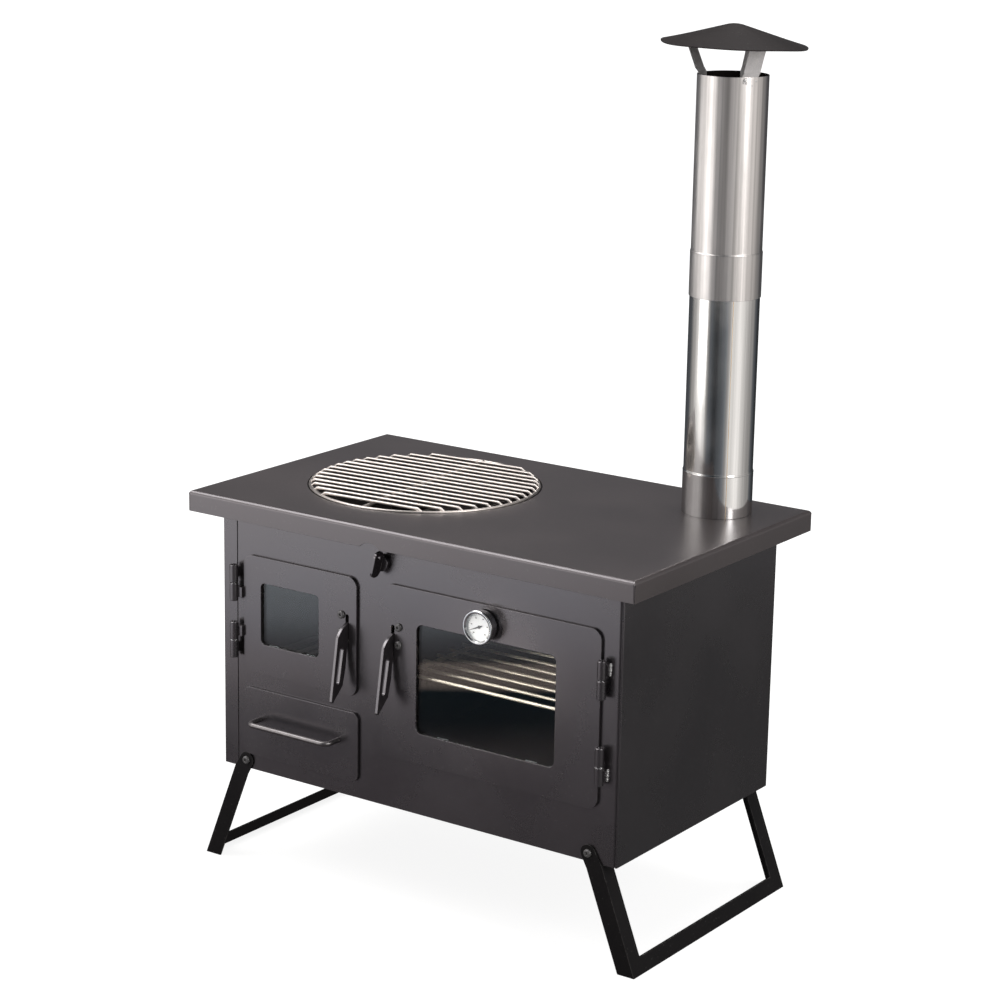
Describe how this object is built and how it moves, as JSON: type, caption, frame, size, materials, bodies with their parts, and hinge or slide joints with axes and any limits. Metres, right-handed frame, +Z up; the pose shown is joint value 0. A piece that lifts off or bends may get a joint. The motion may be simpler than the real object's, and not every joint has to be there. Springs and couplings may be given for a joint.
{
  "type": "wood stove with oven",
  "caption": "Sheet steel wood stove with a glazed firebox door, ash drawer, glazed oven door with thermometer, folding legs, wire pot grate and push-fit flue with a rain cap.",
  "frame": {"origin": "On the ground, under the middle of the cooktop.", "axes": "+X to the right seen from the front, -Y out through the doors, +Z up."},
  "size_m": [0.6, 0.3847, 0.9838],
  "materials": {
    "black_paint": "satin",
    "cast_iron": "matte",
    "bright_wire": "polished",
    "stainless": "brushed",
    "zinc_steel": "satin",
    "dark_steel": "satin",
    "window_glass": "gloss",
    "dial_white": "satin",
    "pointer_black": "matte"
  },
  "bodies": {
    "stove": {"cooktop": "black_paint", "pot_ledge_ring": "black_paint", "side_panel_left": "black_paint", "side_panel_right": "black_paint", "front_panel": "black_paint", "back_panel": "black_paint", "bottom_panel": "black_paint", "centre_partition": "black_paint", "firebox_liner": "black_paint", "grate_ledges": "black_paint", "fire_grate": "cast_iron", "drawer_rails": "black_paint", "oven_box": "black_paint", "oven_rack": "bright_wire", "rack_rails": "black_paint", "latch_keepers": "black_paint", "frame_knuckles": "black_paint", "hinge_pins": "zinc_steel", "hinge_washers": "zinc_steel", "leg_bolts": "dark_steel", "leg_nuts": "zinc_steel", "flue_collar": "black_paint"},
    "grill": {"grill_grate": "bright_wire"},
    "fire_door_body": {"fire_door": "black_paint", "fire_glass": "window_glass", "fire_glass_clips": "zinc_steel", "fire_glass_nuts": "zinc_steel", "fire_latch_bracket": "black_paint", "fire_latch_pin": "zinc_steel", "fire_latch_screws": "dark_steel", "fire_door_knuckles": "black_paint"},
    "fire_latch": {"fire_latch_handle": "black_paint"},
    "oven_door_body": {"oven_door": "black_paint", "oven_glass": "window_glass", "oven_glass_clips": "zinc_steel", "oven_glass_nuts": "zinc_steel", "oven_latch_bracket": "black_paint", "oven_latch_pin": "zinc_steel", "oven_latch_screws": "dark_steel", "oven_door_knuckles": "black_paint", "thermometer_case": "stainless", "thermometer_dial": "dial_white", "thermometer_glass": "window_glass", "thermometer_nut": "zinc_steel"},
    "oven_latch": {"oven_latch_handle": "black_paint"},
    "pointer": {"thermometer_pointer": "pointer_black"},
    "ash_drawer": {"ash_drawer_front": "black_paint", "ash_drawer_tray": "black_paint", "ash_drawer_handle": "stainless"},
    "damper": {"damper_shaft": "zinc_steel", "damper_flap": "black_paint", "damper_knob": "black_paint"},
    "left_leg_body": {"left_leg": "black_paint"},
    "right_leg_body": {"right_leg": "black_paint"},
    "flue_lower": {"flue_pipe_lower": "stainless"},
    "flue_upper": {"flue_pipe_upper": "stainless", "rain_cap": "black_paint", "cap_straps": "stainless"}
  },
  "joints": [
    {"name": "fire_door_hinge", "type": "hinge", "parent": "stove", "child": "fire_door_body", "pos_m": [-0.2483, -0.1675, 0.3], "axis": [0, 0, -1], "range_deg": [0, 110]},
    {"name": "fire_latch_pivot", "type": "hinge", "parent": "fire_door_body", "child": "fire_latch", "pos_m": [-0.0885, -0.152, 0.317], "axis": [-1, 0, 0], "range_deg": [0, 42]},
    {"name": "oven_door_hinge", "type": "hinge", "parent": "stove", "child": "oven_door_body", "pos_m": [0.2516, -0.1675, 0.278], "axis": [0, 0, 1], "range_deg": [0, 110]},
    {"name": "oven_latch_pivot", "type": "hinge", "parent": "oven_door_body", "child": "oven_latch", "pos_m": [-0.0248, -0.152, 0.317], "axis": [-1, 0, 0], "range_deg": [0, 42]},
    {"name": "thermometer_pointer_turn", "type": "hinge", "parent": "oven_door_body", "child": "pointer", "pos_m": [0.099, -0.17, 0.356], "axis": [0, -1, 0], "range_deg": [-60, 195]},
    {"name": "ash_drawer_slide", "type": "slide", "parent": "stove", "child": "ash_drawer", "axis": [0, -1, 0], "range_m": [0, 0.22]},
    {"name": "damper_turn", "type": "hinge", "parent": "stove", "child": "damper", "pos_m": [-0.041, -0.16, 0.4], "axis": [0, -1, 0], "range_deg": [0, 90]},
    {"name": "left_leg_fold", "type": "hinge", "parent": "stove", "child": "left_leg_body", "pos_m": [-0.2364, 0, 0.1282], "axis": [0, -1, 0], "range_deg": [0, 110]},
    {"name": "right_leg_fold", "type": "hinge", "parent": "stove", "child": "right_leg_body", "pos_m": [0.2364, 0, 0.1282], "axis": [0, 1, 0], "range_deg": [0, 110]},
    {"name": "grill_lift", "type": "slide", "parent": "stove", "child": "grill", "axis": [0, 0, 1], "range_m": [0, 0.05]},
    {"name": "flue_lower_lift", "type": "slide", "parent": "stove", "child": "flue_lower", "axis": [0, 0, 1], "range_m": [0, 0.045]},
    {"name": "flue_upper_lift", "type": "slide", "parent": "flue_lower", "child": "flue_upper", "axis": [0, 0, 1], "range_m": [0, 0.049]}
  ]
}
